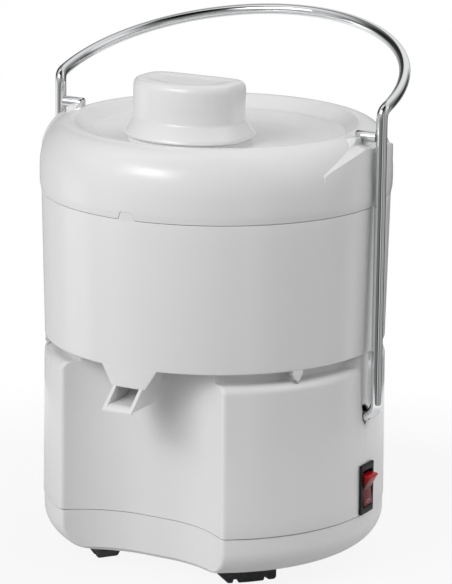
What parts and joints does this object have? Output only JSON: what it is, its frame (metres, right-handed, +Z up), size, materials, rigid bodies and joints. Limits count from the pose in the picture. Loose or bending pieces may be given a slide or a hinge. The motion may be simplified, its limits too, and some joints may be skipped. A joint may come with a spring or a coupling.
{
  "type": "centrifugal juicer",
  "caption": "Upright white centrifugal juicer with a domed lid, oval food pusher, front spout over a glass recess and a chromed bail that swings back",
  "frame": {"origin": "on the drum's axis at the height of the table, under the middle of the feet", "axes": "+Z up; the spout points to -Y; the bail pivots about a line along X"},
  "size_m": [0.24, 0.239, 0.3367],
  "materials": {
    "white_plastic": "glossy moulded ABS, white",
    "black_rubber": "matt black rubber",
    "steel": "plated steel",
    "cast_aluminium": "die-cast aluminium",
    "stainless_sheet": "brushed stainless sheet",
    "laminations": "varnished electrical steel laminations",
    "copper_wire": "enamelled copper",
    "black_plastic": "satin black plastic",
    "carbon": "graphite",
    "red_plastic": "translucent red plastic",
    "ivory_plastic": "natural nylon",
    "yellow_plastic": "potted yellow case",
    "lead_insulation": "PVC insulation",
    "chrome": "bright chrome plate"
  },
  "bodies": {
    "base": {"base_housing": "white_plastic", "bottom_cover": "white_plastic", "feet": "black_rubber", "cover_screws": "steel", "juice_bowl": "white_plastic", "lid": "white_plastic", "feed_chute": "white_plastic", "stator_core": "laminations", "field_coil_left": "copper_wire", "field_coil_right": "copper_wire", "upper_bearing": "steel", "lower_bearing": "steel", "upper_bracket": "cast_aluminium", "lower_bracket": "cast_aluminium", "brush_holders": "black_plastic", "carbon_brushes": "carbon", "motor_mounts": "black_rubber", "motor_screws": "steel", "shaft_seal": "black_rubber", "switch_bezel": "black_plastic", "terminal_block": "ivory_plastic", "suppressor_capacitor": "yellow_plastic", "cord_inlet": "black_rubber", "internal_leads": "lead_insulation", "pivot_bush_left": "black_plastic", "pivot_bush_right": "black_plastic"},
    "pusher": {"food_pusher": "white_plastic"},
    "rotor": {"strainer_drum": "stainless_sheet", "grater_disc": "stainless_sheet", "disc_nut": "white_plastic", "drive_hub": "white_plastic", "motor_shaft": "steel", "armature_core": "laminations", "armature_windings": "copper_wire", "commutator": "copper_wire", "cooling_fan": "black_plastic"},
    "bail": {"handle_bail": "chrome", "latch_pins": "chrome", "pivot_clips": "steel"},
    "rocker": {"switch_rocker": "red_plastic"}
  },
  "joints": [
    {"name": "drum_spin", "type": "hinge", "parent": "base", "child": "rotor", "pos_m": [0, 0, 0.1], "axis": [0, 0, 1], "continuous": true},
    {"name": "bail_swing", "type": "hinge", "parent": "base", "child": "bail", "pos_m": [0, 0, 0.10235], "axis": [-1, 0, 0], "range_deg": [0, 85]},
    {"name": "pusher_lift", "type": "slide", "parent": "base", "child": "pusher", "axis": [0, 0, 1], "range_m": [0, 0.084]},
    {"name": "switch_rock", "type": "hinge", "parent": "base", "child": "rocker", "pos_m": [0.1073, 0, 0.0553], "axis": [0, -1, 0], "range_deg": [0, 22]}
  ]
}
